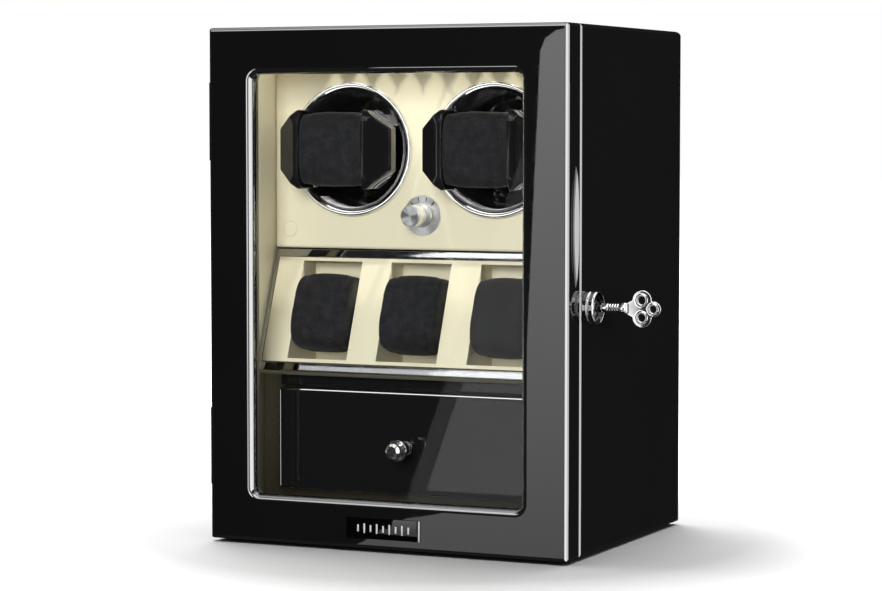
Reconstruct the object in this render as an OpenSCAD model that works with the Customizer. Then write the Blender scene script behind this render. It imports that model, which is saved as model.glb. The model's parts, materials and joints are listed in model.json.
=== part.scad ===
// Watch winder box for two watches: black lacquered cabinet with a framed glass
// door, two turning cups behind a cream panel, a sloping storage tray and a drawer.
// Millimetres. X points right seen from the front, Y to the back, Z up.
// The base pad rests on Z = 0 and the footprint of the box is centred on the origin.

/* [Box] */
// Outside width of the cabinet and the door
box_w = 250; // [248:1:262]
// Depth of the cabinet body without the door
body_d = 179; // [176:1:200]
// Height of the cabinet above its base pad
box_h = 330; // [329:1:340]
// Thickness of the wooden walls
wall = 15; // [12:1:15]
// Thickness of the cream lining boards
lining_t = 2; // [1.5:0.5:2]
// Rounding of the outer edges
edge_r = 2.5; // [1.5:0.5:4]
// Rounding of the top edge at the back
back_top_r = 8; // [4:1:10]
// Thickness of the felt pad under the cabinet
pad_t = 2; // [1:0.5:4]

/* [Door] */
// Thickness of the door frame
door_t = 20; // [19:1:24]
// Gap between the closed door and the cabinet
door_gap = 1; // [1:0.5:1.5]
// Width of the frame around the glass
stile_w = 31.5; // [29:0.5:33]
// Rounding along the front of the window
lip_r = 4.5; // [2:0.5:5]
// Thickness of the frame in front of the glass
lip_t = 6; // [5.5:0.5:7]
// Thickness of the glass
glass_t = 3; // [2:0.5:3]
// Overlap of the glass behind the frame
glass_lap = 7; // [5:0.5:7]

/* [Winder] */
// Distance of the cups from the middle of the box
cup_x = 51; // [48:0.5:53]
// Height of the cup axes
cup_z = 254; // [250:1:256]
// Outer radius of the turning cups
cup_r = 40; // [38:0.5:40]
// Front face of the winder panel
panel_y = -41; // [-45:1:-38]
// Thickness of the winder panel
panel_t = 6; // [4:0.5:8]
// Radius of the cup shafts
shaft_r = 3; // [2:0.5:4]
// Half length of a watch pillow
pillow_l = 40; // [36:0.5:41]
// Height of a watch pillow
pillow_h = 51; // [46:0.5:54]

/* [Storage] */
// Tilt of the storage tray from upright
tray_tilt = 21; // [15:1:24]
// Top of the board under the storage tray
shelf_z = 110; // [106:1:112]
// Width of one storage pocket
pocket_w = 43; // [38:0.5:46]
// Distance between pocket centres
pocket_pitch = 64; // [60:0.5:66]

/* [Drawer] */
// Width of the drawer front
drawer_w = 186; // [176:1:190]
// Height of the drawer front
drawer_h = 67; // [62:1:68]
// Bottom edge of the drawer front
drawer_z = 32; // [30:0.5:33]
// Length of the drawer knob
knob_l = 22; // [16:1:22]

/* [Lock] */
// Distance of the lock behind the front edge of the cabinet
lock_back = 11.6; // [11:0.2:14]
// Height of the lock
lock_z = 157; // [150:1:164]
// Radius of the lock barrel
lock_r = 8; // [7:0.5:8]
// Reach of the lock cam from the barrel axis
cam_l = 20; // [18:0.5:20]

/* [Hidden] */
$fn = 64;
e = 0.02;

lacquer = [0.05, 0.05, 0.05];
cream = [0.88, 0.85, 0.72];
chrome = [0.85, 0.85, 0.86];
steel = [0.62, 0.63, 0.65];
black = [0.08, 0.08, 0.09];

hw = box_w / 2;
total_d = body_d + door_gap + door_t;
y_front = -total_d / 2;
y_door_back = y_front + door_t;
y_body = y_door_back + door_gap;
y_back = y_body + body_d;
z0 = pad_t;
z1 = pad_t + box_h;
z_mid = (z0 + z1) / 2;
in_w = hw - wall;
lin_w = in_w - lining_t;
zf = z0 + wall + lining_t;
zc = z1 - wall - lining_t;
back_t = 5;
back_lip = 9;
sides = [-1, 1];

// Window of the door
win_w = box_w - 2 * stile_w;
win_h = box_h - 2 * stile_w + 2.5;
win_c = z_mid + 0.25;
glass_y = y_front + lip_t;
bead_y = glass_y + glass_t;
bead_t = 3;

// Winder
panel_z = shelf_z + 79;
ring_y = panel_y - 3.5;
cup_y = panel_y - 2.5;
cup_floor = panel_y + 35;
hub_y = cup_floor + 6;
pulley_y = hub_y + 0.3;
plate_y = hub_y + 9;
plate_t = 6;
belt_planes = [1, 4];
pulley_r = 16;
motor_r = 6;
belt_t = 1.2;
belt_w = 2;
pillow_y = panel_y - 21;
dial_z = cup_z - 42.4;
button_x = -(lin_w - 11.3);
button_z = panel_z + 12.5;

// Sloping tray: a point u up the slope and n in front of it
tray_y = panel_y - 28.6;
tray_len = (panel_z - 0.5 - shelf_z) / cos(tray_tilt);
function slope_y(u, n) = tray_y + u * sin(tray_tilt) - n * cos(tray_tilt);
function slope_z(u, n) = shelf_z + u * cos(tray_tilt) + n * sin(tray_tilt);

// Drawer
face_y = panel_y - 25;
surround_y = face_y + 8.5;
box_half = drawer_w / 2 - 11;
box_y = face_y + 8;
box_len = 138;
box_z = drawer_z + 4;

// Lock and hinges
lock_y = y_body + lock_back;
cam_x = lin_w - 4;
hinge_x = -hw - 2.5;
hinge_y = (y_door_back + y_body) / 2;
hinge_z = [z0 + 60, z1 - 60];
hinge_h = 50;
leaf_w = 17;
screw_rows = [-17, 0, 17];

// 2D helpers
module corner(x, y, sx, sy, r) {
  translate([x, y]) scale([sx, sy]) difference() {
    translate([-1, -1]) square(r + 1);
    translate([r, r]) circle(r);
  }
}
module rect4(x0, y0, x1, y1, r00, r10, r11, r01) {
  difference() {
    translate([x0, y0]) square([x1 - x0, y1 - y0]);
    corner(x0, y0, 1, 1, r00);
    corner(x1, y0, -1, 1, r10);
    corner(x1, y1, -1, -1, r11);
    corner(x0, y1, 1, -1, r01);
  }
}
module rrect(w, h, r) {
  rect4(-w / 2, -h / 2, w / 2, h / 2, r, r, r, r);
}
// Extrusions whose outline lies in the XZ, YZ and XY planes
module along_y(y, len) {
  translate([0, y + len, 0]) rotate([90, 0, 0]) linear_extrude(len) children();
}
module along_x(x, len) {
  translate([x, 0, 0]) rotate([90, 0, 90]) linear_extrude(len) children();
}
module along_z(z, len) {
  translate([0, 0, z]) linear_extrude(len) children();
}
module cyl_y(x, z, y, r, len) {
  translate([x, y, z]) rotate([-90, 0, 0]) cylinder(r = r, h = len);
}
module cyl_x(y, z, x, r, len) {
  translate([x, y, z]) rotate([0, 90, 0]) cylinder(r = r, h = len);
}
// Turned parts: the profile's second coordinate runs along Y or X
module turn_y(x, z) {
  translate([x, 0, z]) rotate([-90, 0, 0]) rotate_extrude() children();
}
module turn_x(y, z) {
  translate([0, y, z]) rotate([0, 90, 0]) rotate_extrude() children();
}
module on_slope() {
  translate([0, tray_y, shelf_z]) rotate([-tray_tilt, 0, 0]) children();
}
// Board with rounded outer edges: front, back and upright edges each have a radius
module soft_board(x0, x1, y0, y1, za, zb, rf, rb, rv) {
  intersection() {
    along_y(y0, y1 - y0) rect4(x0, za, x1, zb, rv, rv, rv, rv);
    along_z(za, zb - za) rect4(x0, y0, x1, y1, rf, rf, rb, rb);
    along_x(x0, x1 - x0) rect4(y0, za, y1, zb, rf, rb, rb, rf);
  }
}

// ---- cabinet ----
module screw_spots() {
  for (sx = sides)
    for (z = [z0 + 12, z_mid, z1 - 12])
      translate([sx * (hw - 12), 0, z]) children();
}
module hinge_spots() {
  for (z = hinge_z)
    for (row = screw_rows)
      translate([0, 0, z + row]) children();
}
module hinge_drill(y, r) {
  hinge_spots() cyl_x(y, 0, -hw - 3, r, 13);
}
module cabinet_shell() color(lacquer) difference() {
  intersection() {
    along_y(y_body, body_d) rect4(-hw, z0, hw, z1, edge_r, edge_r, edge_r, edge_r);
    along_z(z0, box_h) rect4(-hw, y_body, hw, y_back, 1.5, 1.5, edge_r, edge_r);
    along_x(-hw, box_w) rect4(y_body, z0, y_back, z1, 1.5, 1.5, back_top_r, 1.5);
  }
  translate([-in_w, y_body - 1, z0 + wall]) cube([2 * in_w, body_d, box_h - 2 * wall]);
  translate([-hw + back_lip, y_back - back_t, z0 + back_lip])
    cube([box_w - 2 * back_lip, back_t + 1, box_h - 2 * back_lip]);
  cyl_x(lock_y, lock_z, in_w - 1, lock_r, wall + 2);
  screw_spots() cyl_y(0, 0, y_back - 13, 1.5, 10);
  hinge_drill(y_body + 9.5, 1.4);
}
module back_panel() color(black) difference() {
  translate([-hw + back_lip + 0.2, y_back - back_t, z0 + back_lip + 0.2])
    cube([box_w - 2 * back_lip - 0.4, back_t - 0.3, box_h - 2 * back_lip - 0.4]);
  screw_spots() {
    cyl_y(0, 0, y_back - 6, 1.5, 8);
    cyl_y(0, 0, y_back - 2, 3.1, 3);
  }
  cyl_y(60, 42, y_back - 6, 6, 8);
  for (i = [0:5])
    translate([-30 + i * 12, y_back - 6, cup_z - 14]) cube([4, 8, 28]);
}
module back_screws() color(steel) screw_spots() {
  cyl_y(0, 0, y_back - 12.5, 1.5, 11);
  difference() {
    cyl_y(0, 0, y_back - 2, 3, 1.4);
    translate([-2, y_back - 1.1, -0.4]) cube([4, 1, 0.8]);
  }
}
module base_pad() color(black)
  along_z(0, pad_t) rect4(-hw + 5, y_body + 5, hw - 5, y_back - 5, 4, 4, 4, 4);
module linings() color(cream) {
  depth = panel_y + 12 - y_body;
  for (sx = sides)
    difference() {
      translate([sx > 0 ? lin_w : -in_w, y_body + 0.5, zf + 0.1])
        cube([lining_t, depth, zc - zf - 0.2]);
      cyl_x(lock_y, lock_z, lin_w - 1, lock_r, wall);
    }
  translate([-in_w, y_body + 0.5, zc]) cube([2 * in_w, depth, lining_t]);
  translate([-in_w, y_body + 0.5, z0 + wall]) cube([2 * in_w, depth, lining_t]);
}
module winder_panel() color(cream) difference() {
  soft_board(-lin_w + 0.2, lin_w - 0.2, panel_y, panel_y + panel_t,
             panel_z, zc - 0.2, 2, 0.5, 2.5);
  for (sx = sides)
    cyl_y(sx * cup_x, cup_z, panel_y - 1, cup_r + 1.5, panel_t + 2);
  cyl_y(0, dial_z, panel_y - 1, 3.6, panel_t + 2);
  cyl_y(button_x, button_z, panel_y - 1, 5.15, panel_t + 2);
  translate([lin_w - 10, panel_y - 1, zc - 3.6]) cube([3, panel_t + 2, 5]);
}
module mid_shelf() color(cream)
  soft_board(-lin_w + 0.1, lin_w - 0.1, tray_y - 0.4, y_back - 20,
             shelf_z - 2.5, shelf_z, 1, 0.2, 0.2);
module tray_bezel() color(lacquer) difference() {
  on_slope() difference() {
    translate([-lin_w + 0.1, 0, 0]) cube([2 * lin_w - 0.2, 5, tray_len]);
    translate([-lin_w + 4, -1, 6]) cube([2 * lin_w - 8, 7, tray_len - 12]);
  }
  translate([-hw, tray_y - 5, shelf_z - 9]) cube([box_w, 30, 9]);
}
module bin_outline(t, top) {
  polygon([[slope_y(7.5 + t, 0), slope_z(7.5 + t, 0)],
           [slope_y(6.4 + t, -5.4 - t), slope_z(6.4 + t, -5.4 - t)],
           [slope_y(6.4 + t, -5.4 - t), shelf_z + 1 + t],
           [panel_y + 16 - t, shelf_z + 1 + t],
           [panel_y + 16 - t, top - t],
           [slope_y(tray_len - 8.2 - t, 0), slope_z(tray_len - 8.2 - t, 0)]]);
}
module storage_tray() color(cream) {
  top = panel_z - 8.6;
  difference() {
    union() {
      on_slope() translate([-lin_w + 4.2, -0.6, 6.2])
        cube([2 * lin_w - 8.4, 3, tray_len - 12.4]);
      for (i = [-1:1])
        along_x(i * pocket_pitch - pocket_w / 2 - 1.5, pocket_w + 3) bin_outline(0, top);
    }
    for (i = [-1:1]) {
      along_x(i * pocket_pitch - pocket_w / 2, pocket_w) bin_outline(1.5, top);
      on_slope() translate([i * pocket_pitch - pocket_w / 2, -2, 8.5])
        cube([pocket_w, 6, tray_len - 17]);
    }
  }
}
module storage_cushions() color([0.16, 0.16, 0.17])
  on_slope()
    for (i = [-1:1])
      translate([0, 6, tray_len / 2]) along_x(i * pocket_pitch - 19, 38)
        rrect(34, 52, 15);
module drawer_surround() color(cream) difference() {
  translate([-lin_w + 0.1, surround_y, zf + 0.1])
    cube([2 * lin_w - 0.2, 4, shelf_z - 2.6 - zf]);
  translate([-box_half - 3, surround_y - 1, drawer_z + 2])
    cube([2 * box_half + 6, 6, drawer_h - 4]);
}
module drawer_rail() color(lacquer)
  soft_board(-drawer_w / 2 + 1, drawer_w / 2 - 1, face_y + 2, surround_y,
             drawer_z + drawer_h + 1.3, shelf_z - 2.5, 1, 0.2, 0.5);
module drawer_guides() color([0.55, 0.42, 0.28])
  for (sx = sides)
    along_y(surround_y + 4, 120) scale([sx, 1])
      polygon([[box_half - 8, box_z - 5], [box_half + 8, box_z - 5], [box_half + 8, zf + 0.1],
               [lin_w - 1, zf + 0.1], [lin_w - 1, box_z + 20], [box_half + 0.4, box_z + 20],
               [box_half + 0.4, box_z - 0.4], [box_half - 8, box_z - 0.4]]);

// ---- light ----
module led_strip() color([0.93, 0.93, 0.9])
  translate([-lin_w + 4, panel_y - 13, zc - 1]) cube([2 * lin_w - 8, 8, 1]);
module led_chips() color([1, 0.96, 0.85])
  for (i = [0:11])
    translate([-99 + i * 18 - 2.5, panel_y - 10.5, zc - 2]) cube([5, 3, 1]);

// ---- drive ----
module bezel_rings() color(chrome)
  for (sx = sides)
    turn_y(sx * cup_x, cup_z) union() {
      translate([cup_r + 1, ring_y + 1.25]) square([2.5, panel_y - ring_y - 1.25]);
      translate([cup_r + 2.25, ring_y + 1.25]) circle(1.25);
      translate([cup_r + 0.6, panel_y - 0.5]) square([0.8, panel_t]);
    }
module drive_plate() color([0.72, 0.6, 0.42]) difference() {
  translate([-in_w + 0.2, plate_y, panel_z + 8])
    cube([2 * in_w - 0.4, plate_t, z1 - wall - 0.2 - panel_z - 8]);
  for (sx = sides)
    cyl_y(sx * cup_x, cup_z, plate_y - 1, shaft_r + 2, plate_t + 2);
  cyl_y(0, cup_z, plate_y - 1, 4, plate_t + 2);
}
module bushings() color([0.72, 0.56, 0.3])
  for (sx = sides)
    difference() {
      union() {
        cyl_y(sx * cup_x, cup_z, plate_y, shaft_r + 2, plate_t);
        cyl_y(sx * cup_x, cup_z, plate_y - 1, shaft_r + 4, 1);
      }
      cyl_y(sx * cup_x, cup_z, plate_y - 2, shaft_r + 0.05, plate_t + 4);
    }
module gear_motor() color(steel) difference() {
  union() {
    cyl_y(0, cup_z, plate_y + 0.5, 4, plate_t);
    cyl_y(0, cup_z, plate_y + plate_t, 16, 12);
    cyl_y(0, cup_z, plate_y + plate_t + 12, 12, 22);
    cyl_y(0, cup_z, plate_y + plate_t + 34, 4, 3);
  }
  cyl_y(0, cup_z, plate_y, 1.55, 15);
}
module belt(sx, plane) {
  r_in = pulley_r + 0.05;
  m_in = motor_r + 0.05;
  along_y(pulley_y + plane + 0.1, belt_w - 0.2) difference() {
    loop_outline(sx, r_in + belt_t, m_in + belt_t);
    loop_outline(sx, r_in, m_in);
  }
}
// Two circles at the pulley centres joined by their common tangents
module loop_outline(sx, ra, rb) {
  t = acos((ra - rb) / cup_x);
  translate([sx * cup_x, cup_z]) circle(ra);
  translate([0, cup_z]) circle(rb);
  translate([0, cup_z])
    polygon([for (s = sides) [sx * (cup_x - ra * cos(t)), s * ra * sin(t)],
             for (s = [1, -1]) [-sx * rb * cos(t), s * rb * sin(t)]]);
}
module drive_belts() color(black) {
  belt(-1, belt_planes[0]);
  belt(1, belt_planes[1]);
}

// ---- controls ----
module dial_plate() color([0.78, 0.78, 0.79]) difference() {
  cyl_y(0, dial_z, panel_y - 1, 13, 1);
  cyl_y(0, dial_z, panel_y - 2, 3.6, 4);
  for (a = [-45, -15, 15, 45])
    translate([0, panel_y - 1.5, dial_z]) rotate([0, a, 0])
      translate([-0.35, 0, 9.2]) cube([0.7, 0.9, 2.6]);
}
module rotary_switch() color(black) difference() {
  union() {
    translate([-8, panel_y + panel_t, dial_z - 8]) cube([16, 11, 16]);
    cyl_y(0, dial_z, panel_y - 1, 3.5, panel_t + 2);
  }
  cyl_y(0, dial_z, panel_y - 2, 2.05, 16);
}
module mode_knob() color([0.8, 0.8, 0.81]) difference() {
  union() {
    turn_y(0, dial_z) polygon([[0, panel_y - 20], [6.2, panel_y - 20], [6.8, panel_y - 19.4],
                               [7.4, panel_y - 4], [7.8, panel_y - 3], [7.8, panel_y - 1.4],
                               [0, panel_y - 1.4]]);
    cyl_y(0, dial_z, panel_y - 2, 2, 14);
  }
  translate([0, panel_y - 21, dial_z]) rotate([0, -45, 0])
    translate([-0.4, 0, 2.5]) cube([0.8, 1.5, 5]);
}
module control_board() color([0.1, 0.32, 0.18]) {
  y = panel_y + 19;
  translate([-60, y, panel_z + 1]) cube([120, 1.6, 18]);
  for (sx = sides)
    for (z = [4, 16])
      cyl_y(sx * 56, panel_z + z, panel_y + panel_t, 2.5, y - panel_y - panel_t + e);
  translate([-40, y + 1.5, panel_z + 4]) cube([12, 4, 12]);
  translate([12, y + 1.5, panel_z + 6]) cube([8, 2.5, 8]);
  translate([40, y + 1.5, panel_z + 5]) cube([12, 8, 8]);
}
module led_button() color(cream) {
  cyl_y(button_x, button_z, panel_y - 0.4, 5.05, panel_t + 0.5);
  cyl_y(button_x, button_z, panel_y + panel_t + 0.05, 6.4, 1);
}
module button_switch() color(black) {
  y = panel_y + panel_t;
  translate([button_x - 7, y + 7, button_z - 10]) cube([14, 1.2, 20]);
  cyl_y(button_x, button_z, y + 2.6, 2, 2);
  translate([button_x - 3, y + 4, button_z - 3]) cube([6, 3.1, 6]);
  for (s = sides)
    cyl_y(button_x, button_z + s * 8.5, y, 1.4, 7.1);
}
module dc_jack() color(black) difference() {
  union() {
    cyl_y(60, 42, y_back - 15, 6, 14.5);
    cyl_y(60, 42, y_back - 7, 8, 2);
  }
  cyl_y(60, 42, y_back - 10, 2.8, 12);
}
// Wire run along the axes through a list of points, with a round boot at each bend
module wire(points) {
  for (i = [0:len(points) - 2]) {
    d = points[i + 1] - points[i];
    turn = d[0] != 0 ? [0, sign(d[0]) * 90, 0] : d[1] != 0 ? [-sign(d[1]) * 90, 0, 0]
         : [d[2] > 0 ? 0 : 180, 0, 0];
    translate(points[i]) rotate(turn) cylinder(r = 1.2, h = norm(d));
  }
  for (i = [1:len(points) - 2])
    translate(points[i]) sphere(1.5);
}
module wiring() color([0.15, 0.15, 0.16]) {
  board_y = panel_y + 28.6;
  motor_y = plate_y + plate_t + 37;
  wire([[60, y_back - 15, 42], [60, y_back - 17.5, 42], [60, y_back - 17.5, 150],
        [60, board_y + 3, 150], [46, board_y + 3, 150], [46, board_y + 3, panel_z + 9],
        [46, board_y, panel_z + 9]]);
  wire([[0, motor_y, cup_z], [0, motor_y + 4, cup_z], [0, motor_y + 4, 170],
        [0, board_y - 2, 170], [0, board_y - 2, panel_z + 4], [0, board_y - 8, panel_z + 4]]);
  wire([[lin_w - 8.5, panel_y - 5, zc - 1.5], [lin_w - 8.5, panel_y + 10, zc - 1.5],
        [lin_w - 8.5, panel_y + 10, panel_z + 10], [58, panel_y + 10, panel_z + 10],
        [58, panel_y + 19, panel_z + 10]]);
}

// ---- turning cups, built on the left and repeated on the right ----
module cup(sx) color(black) {
  difference() {
    turn_y(sx * cup_x, cup_z) difference() {
      union() {
        translate([0, cup_y]) square([cup_r, cup_floor - cup_y]);
        square_hub();
      }
      polygon([[-1, cup_y - 1], [cup_r - 1.6, cup_y - 1], [cup_r - 2, cup_y + 1],
               [cup_r - 2, cup_floor - 14], [cup_r - 5, cup_floor - 14],
               [cup_r - 8, cup_floor - 3], [-1, cup_floor - 3]]);
      translate([-1, cup_floor - 2]) square([shaft_r + 1, 20]);
    }
  }
  for (s = sides)
    translate([sx * cup_x + s * 19 - 2, pillow_y + 13, cup_z - 15])
      cube([4, cup_floor - 2.9 - pillow_y - 13, 30]);
}
module square_hub() {
  translate([0, cup_floor - e]) square([8, hub_y - cup_floor + e]);
}
module pillow(sx) color([0.13, 0.13, 0.14])
  translate([sx * cup_x, pillow_y, cup_z]) along_x(-22, 44) rrect(26, pillow_h - 3, 10);
module pillow_cap(s) {
  h = pillow_h / 2;
  d = 13.5;
  c = 9;
  intersection() {
    scale([s, 1, 1]) along_x(22, pillow_l - 22)
      polygon([[-d, -h + c], [-d + c / 2, -h], [d - c / 2, -h], [d, -h + c],
               [d, h - c], [d - c / 2, h], [-d + c / 2, h], [-d, h - c]]);
    along_y(-d - 1, 2 * d + 2)
      polygon([[s * 21, -h - 1], [s * 25, -h], [s * pillow_l, -h + 12],
               [s * pillow_l, h - 12], [s * 25, h], [s * 21, h + 1]]);
    along_z(-h - 1, 2 * h + 2)
      polygon([[s * 21, -d - 1], [s * 25, -d], [s * pillow_l, -4],
               [s * pillow_l, 4], [s * 25, d], [s * 21, d + 1]]);
  }
}
module pillow_caps(sx) color(black)
  translate([sx * cup_x, pillow_y, cup_z])
    for (s = sides) pillow_cap(s);
module cup_shaft(sx) color(steel) {
  cyl_y(sx * cup_x, cup_z, cup_floor - 2, shaft_r, plate_y + plate_t + 6 - cup_floor);
  cyl_y(sx * cup_x, cup_z, plate_y + plate_t + 0.4, shaft_r + 1.5, 1.4);
}
module pulley(sx, plane) color([0.9, 0.9, 0.88])
  turn_y(sx * cup_x, cup_z) difference() {
    translate([shaft_r, pulley_y]) square([pulley_r + 2 - shaft_r, 7]);
    translate([pulley_r, pulley_y + plane]) square([4, belt_w]);
    translate([8, pulley_y + 3.5]) square([5, 5]);
  }
module motor_pulley() color([0.9, 0.9, 0.88])
  turn_y(0, cup_z) difference() {
    union() {
      translate([0, pulley_y]) square([motor_r + 1.5, 7]);
      translate([0, pulley_y]) square([1.5, 22]);
    }
    for (p = belt_planes)
      translate([motor_r, pulley_y + p]) square([4, belt_w]);
  }
module cup_left() cup(-1);
module cup_right() cup(1);
module pillow_left() pillow(-1);
module pillow_right() pillow(1);
module pillow_caps_left() pillow_caps(-1);
module pillow_caps_right() pillow_caps(1);
module shaft_left() cup_shaft(-1);
module shaft_right() cup_shaft(1);
module pulley_left() pulley(-1, belt_planes[0]);
module pulley_right() pulley(1, belt_planes[1]);

// ---- door ----
// Rounding cutter along the front of the window: straight runs and turned corners
module lip_profile() {
  difference() {
    translate([-0.5, -1]) square([lip_r + 0.5, lip_r + 1]);
    translate([lip_r, lip_r]) circle(lip_r);
  }
}
module lip_cutter(w, h, rc) {
  for (sx = sides)
    translate([sx * w / 2, y_front, win_c - h / 2 + rc]) scale([sx, 1, 1])
      linear_extrude(h - 2 * rc) lip_profile();
  for (sz = sides)
    translate([-w / 2 + rc, y_front, win_c + sz * h / 2]) rotate([0, 90, 0])
      scale([-sz, 1, 1]) linear_extrude(w - 2 * rc) lip_profile();
  for (sx = sides)
    for (sz = sides)
      translate([sx * (w / 2 - rc), y_front, win_c + sz * (h / 2 - rc)])
        rotate([-90, 0, 0]) rotate([0, 0, sx > 0 ? (sz > 0 ? -90 : 0) : (sz > 0 ? 180 : 90)])
          rotate_extrude(angle = 90) translate([rc, 0]) lip_profile();
}
// Long shallow hollow for a fingertip: the outside of a large ring, cut into the edge
module finger_scoop() {
  round_y = 12.2;
  round_z = 351;
  translate([hw - 2 + round_z, y_door_back - 8.2, z0 + 205.4])
    rotate([90, 0, 0]) rotate([0, 0, 172])
      rotate_extrude(angle = 16, $fn = 360) translate([round_z - round_y, 0])
        circle(round_y);
}
module door_frame() color(lacquer) difference() {
  soft_board(-hw, hw, y_front, y_door_back, z0, z1, edge_r, 1, edge_r);
  translate([0, 0, win_c]) {
    along_y(y_front - 1, lip_t + 2) rrect(win_w, win_h, 4);
    along_y(glass_y, door_t) rrect(win_w + 2 * glass_lap, win_h + 2 * glass_lap, 3);
  }
  lip_cutter(win_w, win_h, 4);
  // Finger scoop in the free edge
  finger_scoop();
  // Pocket for the lock cam and seat of its strike plate
  translate([cam_x - 1, y_door_back - 10, lock_z - 6]) cube([4, 11, 27]);
  translate([cam_x - 2.6, y_door_back - 1, lock_z - 12]) cube([12, 2, 39]);
  hinge_drill(y_door_back - 9.5, 1.4);
}
module door_glass() color([0.8, 0.85, 0.85, 0.25])
  translate([0, 0, win_c]) along_y(glass_y, glass_t)
    rrect(win_w + 2 * glass_lap - 0.4, win_h + 2 * glass_lap - 0.4, 3);
module glass_bead() color(cream)
  translate([0, 0, win_c]) along_y(bead_y, bead_t) difference() {
    rrect(win_w + 2 * glass_lap - 0.2, win_h + 2 * glass_lap - 0.2, 3);
    rrect(win_w + 2.5, win_h + 2.5, 5);
  }
module badge() color(steel) {
  difference() {
    translate([-25.5, y_front - 0.8, z0 + 6.5]) cube([51, 0.8, 13.3]);
    translate([-24.7, y_front - 1, z0 + 7.3]) cube([49.4, 0.5, 11.7]);
  }
  for (i = [-4:4])
    translate([i * 4 - 0.4, y_front - 0.8, z0 + 13.2 - (4 - abs(i)) / 2 - 1])
      cube([0.8, 0.5, 6 - abs(i)]);
}
module knuckle(z, h, r_bore) {
  translate([hinge_x, hinge_y, z]) difference() {
    cylinder(r = 2.4, h = h);
    translate([0, 0, -1]) cylinder(r = r_bore, h = h + 2);
  }
}
module hinge_leaves_body() color([0.75, 0.62, 0.35])
  for (z = hinge_z)
    difference() {
      union() {
        for (s = [0, 1])
          knuckle(z - hinge_h / 2 + s * 34, 16, 1.3);
        difference() {
          translate([-hw - 1.2, hinge_y + 0.6, z - hinge_h / 2]) cube([1.2, leaf_w, hinge_h]);
          translate([-hw - 2, hinge_y - 1, z - 9]) cube([3, 4, 18]);
        }
        for (s = [0, 1])
          difference() {
            translate([-hw - 2.6, hinge_y + 0.6, z - hinge_h / 2 + s * 34]) cube([2.6, 2, 16]);
            translate([hinge_x, hinge_y, z - hinge_h]) cylinder(r = 2, h = 2 * hinge_h);
          }
      }
      for (row = screw_rows)
        cyl_x(y_body + 9.5, z + row, -hw - 3, 1.4, 5);
    }
module hinge_leaves_door() color([0.75, 0.62, 0.35])
  for (z = hinge_z)
    difference() {
      union() {
        translate([hinge_x, hinge_y, z - 8.8]) cylinder(r = 2.4, h = 17.6);
        translate([hinge_x, hinge_y, z - hinge_h / 2]) cylinder(r = 1.25, h = hinge_h);
        difference() {
          translate([-hw - 1.2, hinge_y - 0.6 - leaf_w, z - hinge_h / 2])
            cube([1.2, leaf_w, hinge_h]);
          for (s = sides)
            translate([-hw - 2, hinge_y - 3, z + s * 25 - 16.2]) cube([3, 4, 32.4]);
        }
        translate([-hw - 2.6, hinge_y - 2.6, z - 8.8]) cube([2.6, 2, 17.6]);
      }
      for (row = screw_rows)
        cyl_x(y_door_back - 9.5, z + row, -hw - 3, 1.4, 5);
    }
module hinge_screws(y) color(steel)
  hinge_spots() {
    cyl_x(y, 0, -hw - 1.2, 1.4, 11);
    difference() {
      cyl_x(y, 0, -hw - 2, 2.4, 0.8);
      translate([-hw - 2.5, y - 0.3, -1.8]) cube([0.9, 0.6, 3.6]);
    }
  }
module hinge_screws_body() hinge_screws(y_body + 9.5);
module hinge_screws_door() hinge_screws(y_door_back - 9.5);
module strike_plate() color(steel) difference() {
  translate([cam_x - 2.5, y_door_back - 1, lock_z - 11.9]) cube([11.8, 1, 38.8]);
  translate([cam_x - 1, y_door_back - 2, lock_z - 6]) cube([4, 3, 27]);
}
module door_bumpers() color(black)
  for (z = [z0 + 10, z1 - 10])
    cyl_y(hw - 8, z, y_door_back, 3, door_gap - 0.1);

// ---- drawer ----
module drawer_front() color(lacquer) difference() {
  soft_board(-drawer_w / 2, drawer_w / 2, face_y, face_y + 8,
             drawer_z, drawer_z + drawer_h, 2, 0.3, 2);
  cyl_y(0, drawer_z + 31, face_y - 1, 2, 12);
}
module drawer_box() color([0.6, 0.47, 0.32]) difference() {
  translate([-box_half, box_y, box_z]) cube([2 * box_half, box_len, 56]);
  translate([-box_half + 4, box_y + 4, box_z + 3]) cube([2 * box_half - 8, box_len - 8, 60]);
  cyl_y(0, drawer_z + 31, box_y - 1, 2, 8);
  cyl_y(0, drawer_z + 31, box_y + 1.4, 4.1, 4);
}
module drawer_lining() color([0.3, 0.28, 0.25]) difference() {
  translate([-box_half + 4.1, box_y + 4.1, box_z + 3])
    cube([2 * box_half - 8.2, box_len - 8.2, 34]);
  translate([-box_half + 5.1, box_y + 5.1, box_z + 4])
    cube([2 * box_half - 10.2, box_len - 10.2, 60]);
}
module drawer_knob() color(chrome)
  turn_y(0, drawer_z + 31) difference() {
    union() {
      translate([0, face_y - 1.5]) square([4.6, 1.5]);
      translate([0, face_y - knob_l + 3]) square([3.2, knob_l - 4]);
      translate([0, face_y - 5.5]) square([4.2, 1.6]);
      translate([0, face_y - 9.5]) square([5.2, 2.2]);
      translate([0, face_y - 14]) square([6.6, 3]);
      translate([0, face_y - knob_l + 5.4]) square([4.6, 3]);
      polygon([[0, face_y - knob_l], [3.4, face_y - knob_l], [5, face_y - knob_l + 1.4],
               [5.4, face_y - knob_l + 3.2], [4.8, face_y - knob_l + 5.4],
               [0, face_y - knob_l + 6.4]]);
    }
    translate([-1, face_y - 10]) square([3, 12]);
  }
module knob_screw() color(steel) {
  cyl_y(0, drawer_z + 31, face_y - 10, 2, 19.5);
  difference() {
    cyl_y(0, drawer_z + 31, box_y + 1.4, 4, 2.4);
    translate([-3, box_y + 2.8, drawer_z + 30.5]) cube([6, 2, 1]);
  }
}

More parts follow.
